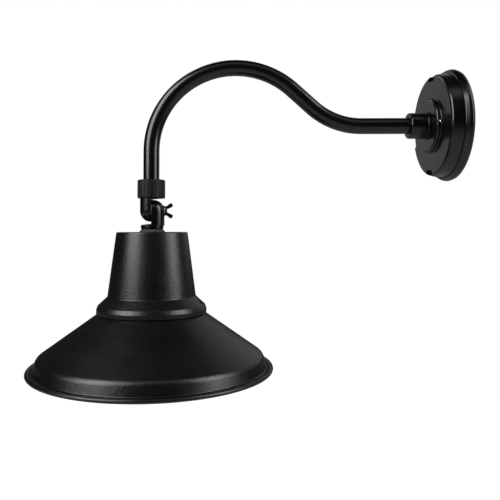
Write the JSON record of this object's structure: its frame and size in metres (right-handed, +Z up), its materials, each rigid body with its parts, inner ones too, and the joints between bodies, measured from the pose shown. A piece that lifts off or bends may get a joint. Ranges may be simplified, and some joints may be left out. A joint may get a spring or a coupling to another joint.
{
  "type": "gooseneck wall sconce",
  "caption": "Barn style wall light: round canopy, swan neck tube arm, knurled swivel collar, wing screw knuckle, tapered can housing and a shallow cone shade with rolled rim",
  "frame": {"origin": "centre of the wall side of the mounting base's gasket, on the arm stub's centreline", "axes": "the wall is the plane Y = 0 and the room is on its -Y side; +Z is up; X runs along the wall"},
  "size_m": [0.3048, 0.5374, 0.3937],
  "materials": {
    "satin_black": "aluminium under a smooth satin black powder coat",
    "textured_black": "aluminium under a matte black powder coat with a fine sand texture",
    "collar_black": "aluminium under a matte black coat, knurled",
    "black_screw": "black oxide",
    "green_screw": "green zinc, ground screw",
    "nickel": "bright nickel plate",
    "zinc_steel": "bright zinc plate",
    "bare_aluminium": "bare, turned",
    "black_rubber": "matte",
    "black_plastic": "matte",
    "fibre_washer": "matte nylon",
    "lead_jacket": "insulated leads",
    "white_plastic": "fine matte",
    "white_board": "solder mask",
    "yellow_phosphor": "phosphor cap",
    "white_reflector": "high reflectance white",
    "clear_silicone": "translucent silicone",
    "frosted_lens": "frosted glass"
  },
  "bodies": {
    "wall_arm": {"wall_gasket": "black_rubber", "mounting_base": "satin_black", "ground_screw": "green_screw", "canopy_cap": "satin_black", "cap_screws": "black_screw", "boss_set_screw": "nickel", "hub_washer": "satin_black", "arm_hub": "satin_black", "arm": "satin_black", "arm_leads": "lead_jacket", "arm_lockwasher": "zinc_steel", "arm_locknut": "zinc_steel", "wire_bushing": "black_plastic", "swivel_seal": "black_rubber"},
    "collar": {"knurled_collar": "collar_black"},
    "knuckle": {"upper_knuckle": "satin_black", "pivot_washer": "fibre_washer"},
    "head": {"lower_knuckle": "satin_black", "wing_washer": "zinc_steel", "neck_gasket": "black_rubber", "housing": "textured_black", "stem_washer": "zinc_steel", "stem_locknut": "zinc_steel", "heat_spreader": "bare_aluminium", "spreader_screws": "zinc_steel", "driver": "white_plastic", "driver_screws": "zinc_steel", "led_board": "white_board", "led_chips": "yellow_phosphor", "board_screws": "zinc_steel", "reflector": "white_reflector", "lens_gasket": "clear_silicone", "lens": "frosted_lens", "lens_ring": "textured_black", "lens_ring_screws": "black_screw", "shade": "textured_black", "shade_screws": "black_screw"},
    "wing": {"wing_screw": "satin_black"}
  },
  "joints": [
    {"name": "collar_turn", "type": "hinge", "parent": "wall_arm", "child": "collar", "pos_m": [0, -0.3863, -0.081], "axis": [0, 0, 1], "range_deg": [-180, 180]},
    {"name": "head_swivel", "type": "hinge", "parent": "wall_arm", "child": "knuckle", "pos_m": [0, -0.3863, -0.09], "axis": [0, 0, 1], "range_deg": [-170, 170]},
    {"name": "head_tilt", "type": "hinge", "parent": "knuckle", "child": "head", "pos_m": [0, -0.385, -0.109], "axis": [0, 1, 0], "range_deg": [-70, 70]},
    {"name": "wing_turn", "type": "hinge", "parent": "knuckle", "child": "wing", "pos_m": [0, -0.3685, -0.109], "axis": [0, 1, 0], "range_deg": [-180, 180]}
  ]
}
